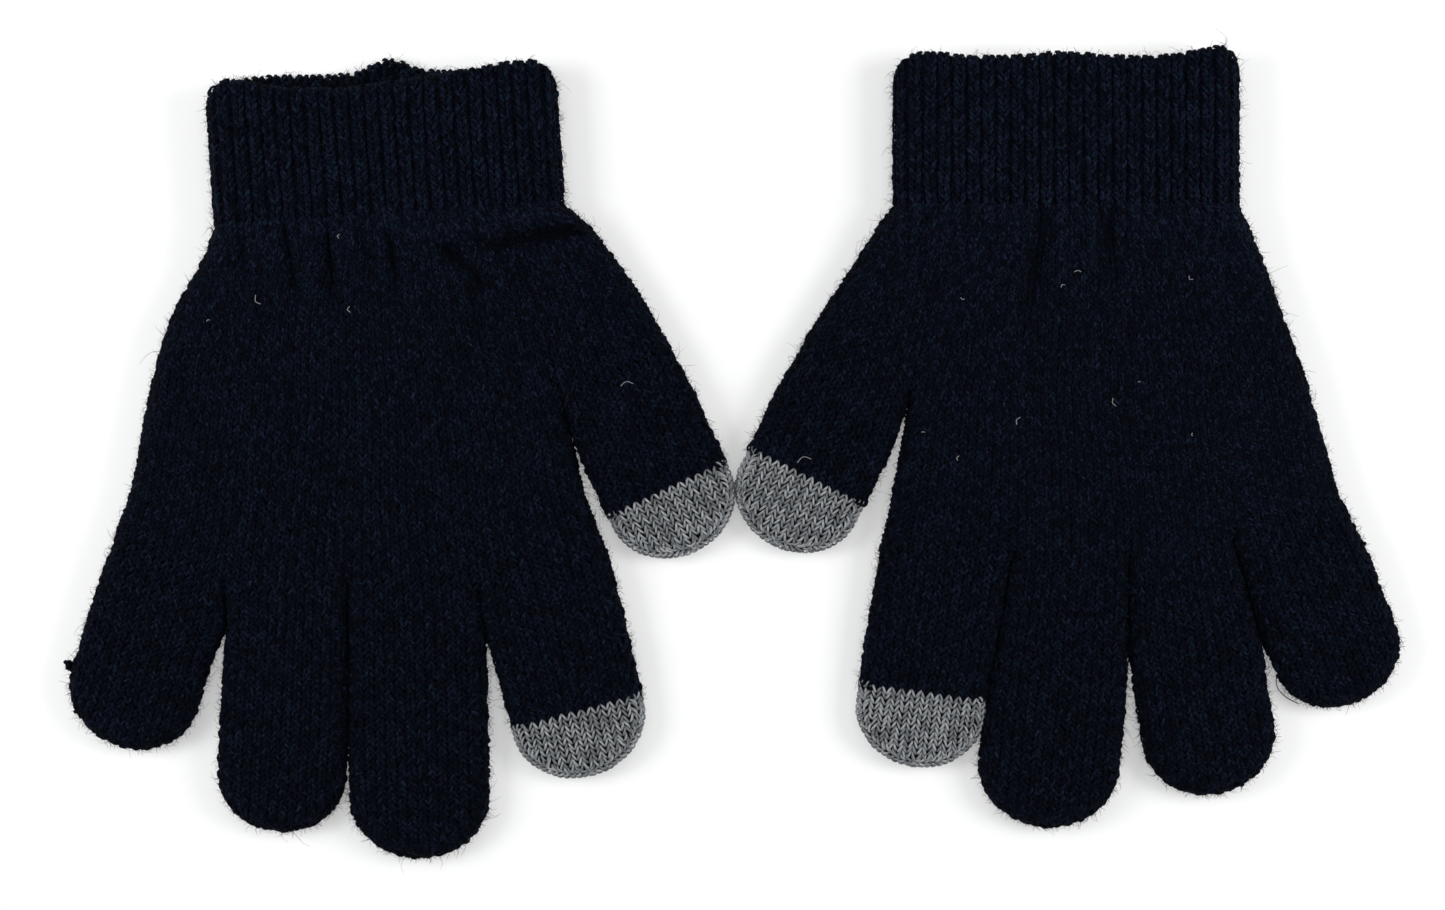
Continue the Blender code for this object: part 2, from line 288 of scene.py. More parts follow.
def side_stitches(line, half, towards, angles=SIDE_ANGLES):
    """Stitches down the rounded side of a flattened tube, along a line of evenly spaced points.

    The line has the piece on its left when towards is 1. half is the tube's half thickness at
    each point.
    """
    middle_z = half + YARN
    step = np.gradient(line, axis=0)
    spacing = np.linalg.norm(step, axis=1, keepdims=True)
    outward = unit(np.stack([step[:, 1], -step[:, 0]], 1)) * towards
    turn = math.radians(angles[1] - angles[0])
    made = {"at": [], "across": [], "along": [], "out": [], "shade": []}
    for angle in np.radians(angles):
        flat = line + outward * RIM * (math.cos(angle) - 1.0)
        made["at"].append(np.column_stack([flat, middle_z + half * math.sin(angle)]))
        rise = half * math.cos(angle) * turn
        made["across"].append(np.column_stack([-outward * RIM * math.sin(angle) * turn, rise]))
        made["along"].append(np.column_stack([unit(step) * spacing, np.gradient(middle_z)]))
        lean = np.full(len(line), math.sin(angle))
        made["out"].append(np.column_stack([outward * math.cos(angle), lean]))
        made["shade"].append(np.ones(len(line)))
    return {key: np.concatenate(rows) for key, rows in made.items()}


def twisted(stitches, spread):
    """The same stitches, each turned a little in its own plane."""
    angle = RNG.normal(0.0, spread, (len(stitches["at"]), 1))
    across, along = stitches["across"], stitches["along"]
    wide, high = (np.linalg.norm(v, axis=1, keepdims=True) for v in (across, along))
    turned = np.cos(angle) * unit(across) + np.sin(angle) * unit(along)
    raised = np.cos(angle) * unit(along) - np.sin(angle) * unit(across)
    return {**stitches, "across": turned * wide, "along": raised * high}


def together(*groups):
    return {key: np.concatenate([group[key] for group in groups]) for key in groups[0]}


def half_tubes(lines, normals, radius, ring):
    """Half-round tubes along lines (n, stations, 3): points, faces and each point's tube."""
    count, stations = lines.shape[:2]
    tangent = unit(np.gradient(lines, axis=1))
    side = unit(np.cross(tangent, normals[:, None, :]))
    up = np.cross(side, tangent)
    spread = np.sin(ring)[:, None] * side[:, :, None, :] + np.cos(ring)[:, None] * up[:, :, None, :]
    points = lines[:, :, None, :] + radius[..., None, None] * spread
    index = np.arange(count * stations * len(ring)).reshape(count, stations, len(ring))
    faces = np.stack(
        [index[:, :-1, :-1], index[:, :-1, 1:], index[:, 1:, 1:], index[:, 1:, :-1]], -1
    )
    return points.reshape(-1, 3), faces.reshape(-1, 4), index


def arm_lines(stitches, sign, shape, jitter):
    """The middle line of one arm of every stitch."""
    p, q, h = (np.array(row) for row in shape)
    count = len(stitches["at"])
    shift = RNG.normal(0.0, jitter, (count, 3))
    swell = 1.0 + RNG.normal(0.0, jitter, (count, 1))
    p = sign * p[None] * swell + 0.5 * shift[:, :1]
    q = q[None] * swell + shift[:, 1:2]
    h = h[None] + 1.2 * shift[:, 2:3]
    return (
        stitches["at"][:, None]
        + p[..., None] * stitches["across"][:, None]
        + q[..., None] * stitches["along"][:, None]
        + h[..., None] * stitches["out"][:, None]
    )


# Each arm from the apex of its V: its place across, along and above, as shares of a wale and of a
# course and in millimetres.
BLACK_ARM = (
    (-0.02, 0.12, 0.28, 0.41, 0.50), (-0.50, -0.15, 0.25, 0.65, 1.05), (-0.35, 0.20, 0.45, 0.35, -0.25),
)
GREY_ARM = (
    (0.04, 0.12, 0.21, 0.30, 0.39, 0.46), (-0.54, -0.27, 0.03, 0.35, 0.66, 0.92),
    (-0.55, 0.15, 0.50, 0.52, 0.20, -0.55),
)
STREAK = 0.28  # how much a fleck of the painted fibre highlights is drawn out along the yarn


def knit(stitches, radius, ring, shape, jitter):
    """The yarn of a set of stitches, as a list of (points, faces, tone, strand).

    The tone is how bright a point is, and the strand is its place on the yarn's skin.
    """
    made = []
    for sign in (-1.0, 1.0):
        lines = arm_lines(stitches, sign, shape, jitter)
        count = len(lines)
        thick = radius * (1.0 + RNG.normal(0.0, 0.07, (count, 1)))
        taper = np.ones(lines.shape[1])
        taper[[0, -1]] = 0.75
        points, faces, index = half_tubes(lines, stitches["out"], thick * taper, ring)
        # A stitch's tone is its own random brightness times its shade, which holds painted shade and
        # painted light.
        tone = np.repeat(RNG.uniform(0.35, 1.0, count) * stitches["shade"], index[0].size)
        length = np.linalg.norm(np.diff(lines, axis=1), axis=2).sum(1)[:, None, None]
        way = np.linspace(0.0, 1.0, lines.shape[1])[None, :, None]
        own = RNG.uniform(0.0, 400.0, (count, 1, 1))
        strand = np.broadcast_arrays(STREAK * length * way, radius * ring + 1.4 * way, own)
        made.append((points, faces, tone, np.stack(strand, -1).reshape(-1, 3)))
    return made


def plain(points, faces, tone):
    """A part whose tone and strand are the same all over."""
    return points, faces, np.full(len(points), tone), np.zeros((len(points), 3))


def black_knit(stitches, jitter=0.075):
    return knit(stitches, YARN, BLACK_RING, BLACK_ARM, jitter)


def grey_knit(stitches):
    return knit(stitches, GREY_YARN, GREY_RING, GREY_ARM, 0.055)


def sheet_faces(rows, columns, closed=False, flipped=False):
    index = np.arange(rows * columns).reshape(rows, columns)
    if closed:
        index = np.concatenate([index, index[:, :1]], 1)
    quads = np.stack([index[:-1, :-1], index[:-1, 1:], index[1:, 1:], index[1:, :-1]], -1)
    quads = quads.reshape(-1, 4)
    return quads[:, ::-1] if flipped else quads


def inner_face(nodes, side):
    """The face under the stitches of a grid, painted dark at tone 0 as shade between the stitches."""
    rows, columns = nodes.shape[:2]
    return plain(nodes.reshape(-1, 3), sheet_faces(rows, columns, flipped=side < 0), 0.0)


def fibres(stitches, share, longest, thick=0.06, rises=(0.25, 1.0), root_height=0.25):
    """Fine curled fibres that stand out of the yarn, each a slim tapering tube."""
    count = int(len(stitches["at"]) * share)
    root = RNG.integers(0, len(stitches["at"]), count)
    out = stitches["out"][root]
    across, along = unit(stitches["across"][root]), unit(stitches["along"][root])
    heading = RNG.uniform(0.0, 2 * math.pi, (count, 1))
    lean = np.cos(heading) * across + np.sin(heading) * along
    bend = -np.sin(heading) * across + np.cos(heading) * along
    length = longest * RNG.beta(1.6, 3.2, (count, 1)) + 0.5
    rise = RNG.uniform(*rises, (count, 1))
    sweep, curl = RNG.normal(0.0, 0.5, (count, 1)), RNG.normal(0.0, 0.2, (count, 1))
    t = np.linspace(0.0, 1.0, 6)
    start = stitches["at"][root] + root_height * out
    start = start + across * RNG.normal(0.0, 0.6, (count, 1)) + along * RNG.normal(0.0, 0.4, (count, 1))
    lines = np.stack(
        [
            start + length * (k * lean * (0.8 - 0.3 * k) + rise * (k - 0.3 * k * k) * out
                              + (sweep * k * k + curl * math.sin(4.4 * k)) * bend)
            for k in t
        ],
        1,
    )
    radius = thick * np.linspace(1.0, 0.35, len(t)) * RNG.uniform(0.7, 1.2, (count, 1))
    ring = np.radians((0.0, 120.0, 240.0, 360.0))
    points, faces, _ = half_tubes(lines, lean * 0.3 + out + 0.2 * bend, radius, ring)
    return [plain(points, faces, 0.35)]


def edge_fibres(sides):
    """The fuzz along an outline: many short fibres and a few long ones."""
    short = fibres(sides, 2.6, 2.2, 0.055, rises=(0.6, 1.6), root_height=0.6)
    return short + fibres(sides, 0.3, 4.8, 0.055, rises=(0.4, 1.4), root_height=0.5)


def facing_sideways(stitches):
    """Those of a set of stitches that show in outline from above."""
    shown = np.abs(stitches["out"][:, 2]) < 0.7
    return {key: rows[shown] for key, rows in stitches.items()}


def strand_along(points, radius, tone):
    """One loose fibre along a smooth curve through a few points."""
    line = flowing(np.array(points, float), 14)[None]
    ring = np.radians((0.0, 90.0, 180.0, 270.0, 360.0))
    thick = np.full(line.shape[:2], radius)
    points, faces, _ = half_tubes(line, np.array([[0.1, 0.2, 1.0]]), thick, ring)
    return plain(points, faces, tone)


def lint_bit(surface, middle, length, heading):
    """A pale curled fibre that lies on a surface, a function from places to 3-D points."""
    t = np.linspace(-0.5, 0.5, 6)[:, None] * length
    turn = math.radians(heading)
    along = np.array((math.cos(turn), math.sin(turn)))
    across = np.array((-math.sin(turn), math.cos(turn)))
    turns = 1.0 + heading % 50.0 / 50.0
    bow = 0.2 * length * np.cos(turns * math.pi * t / length)
    flat = placed(middle) + t * along + bow * across
    points = surface(flat)
    points[:, 2] += LINT_HEIGHT
    return strand_along(points, LINT_RADIUS, LINT_TONE)


def knot():
    """A few stitches of yarn, bunched up."""
    count = 9
    spread = RNG.normal(0.0, 0.3, (count, 3)) * (1.0, 1.6, 1.0)
    across, along = (unit(RNG.normal(0.0, 1.0, (count, 3))) for _ in range(2))
    out = unit(np.cross(across, along))
    bunch = {
        "at": np.array(KNOT) + spread, "across": across, "along": 0.8 * along, "out": out,
        "shade": np.full(count, 0.8),
    }
    return black_knit(bunch)


# Meshes


def make_mesh(name, parts, material):
    """A mesh object from a list of (points, faces, tone, strand), in metres and above the floor."""
    all_points, all_faces, tones, strands = zip(*parts, strict=True)
    offsets = np.cumsum([0] + [len(points) for points in all_points[:-1]])
    points = np.concatenate(all_points)
    points[:, 2] = np.maximum(points[:, 2], FLOOR_GAP)
    points = points * MM
    faces = np.concatenate([faces + o for faces, o in zip(all_faces, offsets, strict=True)])
    mesh = bpy.data.meshes.new(name)
    mesh.vertices.add(len(points))
    mesh.vertices.foreach_set("co", points.astype(np.float32).ravel())
    mesh.loops.add(faces.size)
    mesh.loops.foreach_set("vertex_index", faces.astype(np.int32).ravel())
    mesh.polygons.add(len(faces))
    mesh.polygons.foreach_set("loop_start", np.arange(0, faces.size, 4, dtype=np.int32))
    mesh.update(calc_edges=True)
    tone = mesh.attributes.new("tone", "FLOAT", "POINT")
    tone.data.foreach_set("value", np.concatenate(tones).astype(np.float32))
    strand = mesh.attributes.new("strand", "FLOAT_VECTOR", "POINT")
    strand.data.foreach_set("vector", np.concatenate(strands).astype(np.float32).ravel())
    mesh.shade_smooth()
    mesh.materials.append(material)
    made = bpy.data.objects.new(name, mesh)
    bpy.context.scene.collection.objects.link(made)
    return made


# Materials


def new_material(name):
    material = bpy.data.materials.new(name)
    material.use_nodes = True
    tree = material.node_tree
    return material, tree, tree.nodes["Principled BSDF"]


def attribute(tree, name):
    node = tree.nodes.new("ShaderNodeAttribute")
    node.attribute_name = name
    return node


def noise(tree, scale, detail, source):
    node = tree.nodes.new("ShaderNodeTexNoise")
    node.inputs["Scale"].default_value = scale
    node.inputs["Detail"].default_value = detail
    node.inputs["Roughness"].default_value = 0.65
    tree.links.new(source, node.inputs["Vector"])
    return node


def stretched(tree, low, high, source):
    """A value from low to high, stretched to run from 0 to 1."""
    node = tree.nodes.new("ShaderNodeMapRange")
    node.inputs["From Min"].default_value = low
    node.inputs["From Max"].default_value = high
    tree.links.new(source, node.inputs["Value"])
    return node.outputs["Result"]


def blended(tree, share, first, second, mode="MIX"):
    """One colour mixed into another, each a node's output or a constant."""
    node = tree.nodes.new("ShaderNodeMix")
    node.data_type = "RGBA"
    node.blend_type = mode
    for index, value in ((0, share), (6, first), (7, second)):
        socket = node.inputs[index]
        if isinstance(value, bpy.types.NodeSocket):
            tree.links.new(value, socket)
        else:
            socket.default_value = value
    return node.outputs[2]


def yarn_material(name, deep, dark, light, highlight_streak_range, roughness, sheen, tints):
    """Yarn of many fibres: a dark strand with light streaks along it, which are painted fibre
    highlights, stitch by stitch; the deep colour underneath, which is painted shade; and pale where
    its tone is over 1, which is lint."""
    material, tree, shader = new_material(name)
    shader.inputs["Roughness"].default_value = roughness
    shader.inputs["Sheen Weight"].default_value = sheen
    shader.inputs["Sheen Roughness"].default_value = 0.45
    shader.inputs["Sheen Tint"].default_value = (0.75, 0.88, 1.0, 1.0)
    shader.inputs["Specular IOR Level"].default_value = 0.05
    strand = attribute(tree, "strand").outputs["Vector"]
    tone = attribute(tree, "tone").outputs["Fac"]
    grain_and_glints = noise(tree, 4.2, 3.0, strand).outputs["Fac"]
    bump = tree.nodes.new("ShaderNodeBump")
    bump.inputs["Strength"].default_value = 0.5
    bump.inputs["Distance"].default_value = 0.0002
    tree.links.new(grain_and_glints, bump.inputs["Height"])
    tree.links.new(bump.outputs["Normal"], shader.inputs["Normal"])
    mixed = tree.nodes.new("ShaderNodeMath")
    mixed.operation = "MULTIPLY"
    tree.links.new(tone, mixed.inputs[0])
    tree.links.new(stretched(tree, *highlight_streak_range, grain_and_glints), mixed.inputs[1])
    # The ramp runs from the deep colour, painted shade, through the yarn's dark colour to the light
    # one, painted fibre highlights.
    stops = tree.nodes.new("ShaderNodeValToRGB")
    stops.color_ramp.elements[0].position = 0.0
    stops.color_ramp.elements[0].color = (*deep, 1.0)
    stops.color_ramp.elements[1].position = 0.80
    stops.color_ramp.elements[1].color = (*light, 1.0)
    stops.color_ramp.elements.new(0.25).color = (*dark, 1.0)
    tree.links.new(mixed.outputs["Value"], stops.inputs["Fac"])
    place = tree.nodes.new("ShaderNodeTexCoord")
    hue = noise(tree, 520.0, 1.0, place.outputs["Object"]).outputs["Fac"]
    tint = blended(tree, stretched(tree, 0.38, 0.62, hue), *tints)
    coloured = blended(tree, 1.0, stops.outputs["Color"], tint, "MULTIPLY")
    pale = blended(tree, stretched(tree, 1.5, LINT_TONE, tone), coloured, (0.34, 0.35, 0.35, 1.0))
    tree.links.new(pale, shader.inputs["Base Color"])
    return material


TEAL_TO_VIOLET = ((0.75, 1.08, 0.95, 1.0), (1.3, 0.95, 1.08, 1.0))
NO_TINT = ((0.97, 1.0, 1.0, 1.0), (1.0, 0.99, 0.98, 1.0))
# Each yarn's colours: deep, which is painted shade, then dark, and light, which is painted fibre
# highlights.
BLACK = yarn_material(
    "black_yarn", (0.0002, 0.0006, 0.0021), (0.0006, 0.0015, 0.0050), (0.0090, 0.0150, 0.0340),
    (0.45, 0.66), 0.85, 0.006, TEAL_TO_VIOLET,
)
GREY = yarn_material(
    "grey_conductive_yarn", (0.004, 0.005, 0.006), (0.125, 0.133, 0.142), (0.360, 0.372, 0.388),
    (0.0, 0.72), 0.62, 0.02, NO_TINT,
)
ELASTIC = yarn_material(
    "elastic_yarn", (0.010, 0.010, 0.010), (0.015, 0.015, 0.016), (0.030, 0.030, 0.032),
    (0.3, 0.7), 0.5, 0.1, NO_TINT,
)


# The frame's joints


def joint_line(name):
    """A joint's place from above, the way its piece points, and the way across it."""
    joint = next(j for j in frame["joints"] if j["name"] == name)
    axis = np.array(joint["axis"][:2])
    across = axis * np.sign(axis[0])
    return np.array(joint["pos_m"][:2]) / MM, np.array((across[1], -across[0])), across


# Fingers


def finger_shape(hand, finger):
    """Everything that the surface of a finger is worked out from."""
    glove = GLOVES[hand]
    width, length, cap, stray, left_gap, right_gap = glove["fingers"][finger]
    base, down, across = joint_line(f"{hand}_{finger}_bend")
    if finger == "thumb":
        crotch = placed([glove[f"low_{glove['thumb_side']}"][-1]])[0]
        outer = placed([glove[f"high_{glove['thumb_side']}"][0]])[0]
        roots = (crotch, outer) if glove["thumb_side"] == "right" else (outer, crotch)
    else:
        order = [name for name in glove["fingers"] if name != "thumb"].index(finger)
        roots = placed(glove["knuckles"][order : order + 2])
    sides = []
    for root, gap in zip(roots, (left_gap, right_gap), strict=True):
        away = root - base
        knots = [(away @ down, abs(away @ across))]
        if gap is not None:
            away = placed([gap])[0] - base
            knots.append((away @ down, abs(away @ across)))
        parted = knots[-1][0]
        knots.append((parted + 14.0, width / 2))
        sides.append({"knots": np.array(knots), "parted": parted, "gap": gap is not None})
    return {
        "base": base, "down": down, "across": across, "length": length, "cap": cap,
        "stray": stray, "sides": sides, "round": TIP_ROUND * width,
    }


def finger_place(shape, u, v):
    """From above, the places that are u across a finger and v along it."""
    u = u + shape["stray"] * smooth(v / shape["length"])
    return shape["base"] + u[..., None] * shape["across"] + v[..., None] * shape["down"]


def half_width(shape, side, v):
    knots = shape["sides"][side]["knots"]
    at = np.linspace(knots[0, 0], knots[-1, 0], 41)
    wide = np.interp(at, knots[:, 0], knots[:, 1])
    kernel = np.ones(9) / 9
    wide = np.convolve(np.pad(wide, 4, "edge"), kernel, "valid")
    return np.interp(v, at, wide) - EDGE_INSET


def finger_half(shape, v):
    return HALF + (TIP_HALF - HALF) * smooth(v / shape["length"])


def finger_edge(shape, u, v):
    """The distance in from the outline, and the height share there."""
    length, rounded = shape["length"] - EDGE_INSET, shape["round"]
    straight = length - rounded
    edge, share = np.full(np.shape(u), 99.0), np.ones(np.shape(u))
    for side, sign in ((0, -1.0), (1, 1.0)):
        wide = half_width(shape, side, v)
        past = np.clip((v - straight) / rounded, 0.0, 2.0)
        reach = np.sqrt((np.maximum(sign * u, 0.0) / wide) ** 2 + past**2)
        d = np.where(
            v > straight, (1.0 - reach) * (wide + (rounded - wide) * smooth(past)), wide - sign * u
        )
        parted = shape["sides"][side]
        depth = np.ones(np.shape(u))
        if parted["gap"]:
            start = parted["knots"][0, 0]
            opened = smooth((v - start) / (parted["parted"] - start))
            depth = CROTCH_CREASE + (1 - CROTCH_CREASE) * opened
        share = np.minimum(share, 1.0 - depth * (1.0 - rounding(d)))
        edge = np.minimum(edge, np.where(depth > 0.95, d, 9.0 * (1 - depth) + np.maximum(d, 0.0)))
    return edge, share


def finger_root(shape, s):
    """How far along the finger its root is, at a share s from -1 to 1 across."""
    left, right = (shape["sides"][side]["knots"][0, 0] for side in (0, 1))
    return left + (right - left) * (s + 1) / 2


def finger_surface(shape, u, v, side, inset=0.0):
    """3-D points of the upper (side 1) or lower (-1) layer."""
    half = finger_half(shape, v)
    _, share = finger_edge(shape, u, v)
    flat = finger_place(shape, u, v)
    wave = unevenness(flat) * share if side > 0 else 0.0
    z = half + YARN + side * (half - inset) * share + wave
    return np.concatenate([flat, z[..., None]], -1)


def finger_grid(shape, v_from, v_to, wales, from_root):
    """u and v of the nodes between two lines across the finger; rows run towards the cuff."""
    rows = max(2, round((v_to - v_from) / COURSE))
    s = np.linspace(-1.0, 1.0, wales + 1)[None, :]
    t = np.linspace(1.0, 0.0, rows + 1)[:, None]
    start = finger_root(shape, s) if from_root else v_from
    v = start + (v_to - start) * t + 0.0 * s
    wide = np.where(s < 0, half_width(shape, 0, v), half_width(shape, 1, v))
    return s * wide, v


def finger_outline(shape, side, v_from, v_to):
    """Evenly spaced (u, v) points down one side, ending in the middle of the tip if it gets there."""
    straight = shape["length"] - EDGE_INSET - shape["round"]
    sign = (-1.0, 1.0)[side]
    v = np.linspace(v_from, min(v_to, straight), 40)
    points = np.stack([sign * half_width(shape, side, v), v], 1)
    if v_to > straight:
        angle = np.linspace(0.0, math.pi / 2, 30)[1:]
        wide = half_width(shape, side, straight)
        arc = [sign * wide * np.cos(angle), straight + shape["round"] * np.sin(angle)]
        points = np.concatenate([points, np.stack(arc, 1)])
    return by_course(points)


def finger_sides(shape, v_from, v_to, angles):
    """The stitches that close both sides of a finger between two lines across it."""
    made = []
    for side in (0, 1):
        start = shape["sides"][side]["knots"][0, 0] if v_from is None else v_from
        line = finger_outline(shape, side, start, v_to)[::-1]
        flat = finger_place(shape, line[:, 0], line[:, 1])
        half = finger_half(shape, line[:, 1])
        made.append(side_stitches(flat, half, (-1.0, 1.0)[side], angles))
    return together(*made)


def finger_inner(shape, v_from, v_to, closed_tip):
    """The inner face of a finger: a flattened tube a little inside its stitches, painted dark at tone 0
    as shade between them.
    """
    rows, per_layer = 22, 15
    stations = np.linspace(v_from, v_to, rows)
    if closed_tip:
        t = np.linspace(0.0, 1.0, rows)
        stations = v_from + (v_to - v_from) * (1.6 * t - 0.6 * t**2)
    spread = np.sin(np.linspace(-1.0, 1.0, per_layer) * math.pi / 2)
    length, rounded = shape["length"] - EDGE_INSET - LINING, shape["round"]
    rings = []
    for v in stations:
        past = np.clip((v - (length - rounded)) / rounded, 0.0, 0.999)
        narrow = math.sqrt(1.0 - past**2)
        wide = np.where(spread < 0, half_width(shape, 0, v), half_width(shape, 1, v)) - LINING
        u = spread * wide * narrow
        upper, lower = (
            finger_surface(shape, u, np.full(len(u), v), side, LINING) for side in (1, -1)
        )
        rings.append(np.concatenate([upper, lower[-2:0:-1]]))
    points = np.concatenate(rings)
    around = len(rings[0])
    faces = sheet_faces(rows, around, closed=True, flipped=True)
    if closed_tip:
        top = (rows - 1) * around
        over = top + np.arange(per_layer)
        last = per_layer - 1
        under = top + np.concatenate(([0], np.arange(around - 1, last, -1), [last]))
        cap = np.stack([over[:-1], over[1:], under[1:], under[:-1]], 1)[1:-1]
        faces = np.concatenate([faces, cap])
    return plain(points, faces, 0.0)


def finger_stitches(shape, v_from, v_to, is_cap):
    """The stitches of a finger's two faces, and of its sides, between two lines across it."""
    wales, kept, angles = WALES, SIDE_KEPT, SIDE_ANGLES
    if is_cap:
        wales, kept, angles = CAP_WALES, CAP_KEPT, CAP_ANGLES
    u, v = finger_grid(shape, v_from, v_to, wales, not is_cap)
    groups = []
    for side in (1, -1):
        nodes = finger_surface(shape, u, v, side)
        centre_u = (u[:-1, :-1] + u[1:, 1:]) / 2
        centre_v = (v[:-1, :-1] + v[1:, 1:]) / 2
        edge, _ = finger_edge(shape, centre_u, centre_v)
        groups.append(stitches_on(nodes, side, edge > kept, np.ones(edge.shape)))
    return together(*groups), finger_sides(shape, v_from if is_cap else None, v_to, angles)


def build_finger(hand, finger):
    """The black stall and, on a thumb and an index finger, its grey cap."""
    shape = finger_shape(hand, finger)
    name = f"{hand}_{finger}"
    stall_end = shape["length"] - EDGE_INSET - shape["cap"]
    faces, sides = finger_stitches(shape, 0.0, stall_end, is_cap=False)
    parts = black_knit(faces) + black_knit(twisted(sides, SIDE_TWIST), SIDE_JITTER)
    inner_end = stall_end if shape["cap"] else stall_end - LINING
    parts.append(finger_inner(shape, -0.5, inner_end, not shape["cap"]))
    parts += fibres(faces, 0.3, 2.4) + edge_fibres(sides) + finger_extras(hand, finger, shape)
    stall = make_mesh(f"{name}_knit", parts, BLACK)
    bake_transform(stall)
    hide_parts(name)
    if shape["cap"]:
        build_cap(name, shape, stall_end)


def finger_extras(hand, finger, shape):
    """The lint on a thumb, the knot on one little finger and the loose fibre at the other."""
    if finger == "thumb":
        return [lint_bit(partial(over_finger, shape), *LINT[hand][-1])]
    if finger == "little":
        return knot() if hand == "left" else [strand_along(placed_high(LOOSE_FIBRE), 0.11, 0.4)]
    return []


def over_finger(shape, flat):
    """3-D points of a finger's upper layer over places given from above."""
    away = flat - shape["base"]
    u, v = away @ shape["across"], away @ shape["down"]
    return finger_surface(shape, u - shape["stray"] * smooth(v / shape["length"]), v, 1)


def placed_high(points):
    return np.array(points) + (*ORIGIN, 0.0)


def build_cap(name, shape, start):
    end = shape["length"] - EDGE_INSET
    faces, sides = finger_stitches(shape, start, end, is_cap=True)
    parts = grey_knit(faces) + grey_knit(twisted(sides, CAP_TWIST))
    parts.append(finger_inner(shape, start, end - LINING, True))
    parts += fibres(sides, 0.5, 1.0, 0.05, root_height=0.3)
    cap = make_mesh(f"{name}_touch_knit", parts, GREY)
    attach(cap, f"{name}_body")
    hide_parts(f"{name}_touch_tip")


# Palms

LOWER_ROWS, UPPER_ROWS = 32, 33  # of nodes, below the thumb's crotch and above it
CREASE_RIM = 3.2
CREASE_REACH = 14.0  # how far a crease runs from between two fingers
THUMB_CREASE = (4.0, 11.0)  # how far one runs from the thumb's crotch, inwards and to the cuff
THUMB_CREASE_DEPTH = 0.6
THUMB_BLEND = (1.5, 6.0)  # how much less a palm is rounded beside that crotch, and how far
CUFF_REACH = 12.0  # over how long a palm takes on the cuff's thickness and the painted light of its ribs
BULGE = 0.6  # of the upper layer where the cuff starts to gather it
CUFF_LIGHT, RIB_LIGHT = 0.28, 0.25  # how much painted light brightens stitches there, and how much more on the ribs


def crease_share(points, start, end, depth):
    """The height share beside a crease that starts deep and fades along its length."""
    gap, along = distance_to(points, np.array((start, end)))
    reach = np.linalg.norm(np.subtract(end, start))
    return 1.0 - depth * (1.0 - along / reach) ** 1.3 * (1.0 - rounding(gap, CREASE_RIM))


def palm_edges(glove):
    """The palm's free outlines, each running towards the cuff."""
    return {
        name: flowing(placed(glove[name]), 60)
        for name in ("low_left", "low_right", "high_left", "high_right")
    }


def palm_relief(hand, flat):
    """Distance in from the nearest outline, and the height share, at points of a palm."""
    glove = GLOVES[hand]
    edge, share = np.full(flat.shape[:-1], 99.0), np.ones(flat.shape[:-1])
    for name, line in palm_edges(glove).items():
        d = distance_to(flat, line)[0] - EDGE_INSET
        if name == f"low_{glove['thumb_side']}":
            more, reach = THUMB_BLEND
            fade = smooth((distance_to(flat, line[-1:].repeat(2, 0))[0] - 1.0) / reach)
            d = d + more * (1.0 - fade)
        edge = np.minimum(edge, d)
        share = np.minimum(share, rounding(d))
    knuckles = placed(glove["knuckles"])
    for before, crotch, after in zip(knuckles, knuckles[1:], knuckles[2:], strict=False):
        inward = unit(np.array(((before - after)[1], (after - before)[0])))
        inward = inward * np.sign(inward[1])
        end = crotch + CREASE_REACH * inward
        share = np.minimum(share, crease_share(flat, crotch, end, CROTCH_CREASE))
    crotch = placed([glove[f"low_{glove['thumb_side']}"][-1]])[0]
    inward = -1.0 if glove["thumb_side"] == "right" else 1.0
    towards = np.array(THUMB_CREASE) * (inward, 1.0)
    share = np.minimum(share, crease_share(flat, crotch, crotch + towards, THUMB_CREASE_DEPTH))
    return edge, share


def seam_distance(hand, flat):
    middle, _, across = joint_line(f"{hand}_wrist_bend")
    return -(flat - middle) @ np.array((-across[1], across[0]))


def rib_wave(hand, flat):
    """1 in line with the cuff's raised ribs and -1 between them."""
    middle, _, across = joint_line(f"{hand}_wrist_bend")
    flat_run, bend_run = cuff_runs(hand)
    way_round = (flat - middle) @ across + flat_run / 2 + bend_run / 2
    return np.cos(2 * math.pi * RIBS * way_round / (2 * (flat_run + bend_run)))


def fold_depth(hand, flat):
    depth = np.zeros(flat.shape[:-1])
    for start, end, wide, deep in FOLDS[hand]:
        line = placed([start, end])
        gap, along = distance_to(flat, line)
        reach = np.linalg.norm(line[1] - line[0])
        fade = 1.0 - smooth((along / reach - 0.35) / 0.65)
        groove = bell(gap, 0.0, wide) - 0.35 * bell(gap, 0.0, 2.2 * wide)
        depth = depth + deep * fade * groove
    return depth * smooth((seam_distance(hand, flat) + 1.0) / 6.0)


def palm_half(hand, flat):
    """Half the palm's thickness, which grows towards the cuff."""
    near_cuff = 1.0 - smooth(seam_distance(hand, flat) / CUFF_REACH)
    return HALF + (CUFF_HALF - HALF) * near_cuff


def palm_surface(hand, flat, side, inset=0.0):
    """3-D points of the palm's upper or lower layer."""
    _, share = palm_relief(hand, flat)
    half = palm_half(hand, flat)
    bump = 0.0
    if side > 0:
        below_seam = seam_distance(hand, flat)
        bulge = BULGE * bell(below_seam, 6.0, 3.5)
        ribbed = BULGE * rib_wave(hand, flat) * bell(below_seam, 0.0, 7.0)
        bump = share * (unevenness(flat) + bulge + ribbed - fold_depth(hand, flat))
    z = half + YARN + side * (half - inset) * share + bump
    return np.concatenate([flat, z[..., None]], -1)


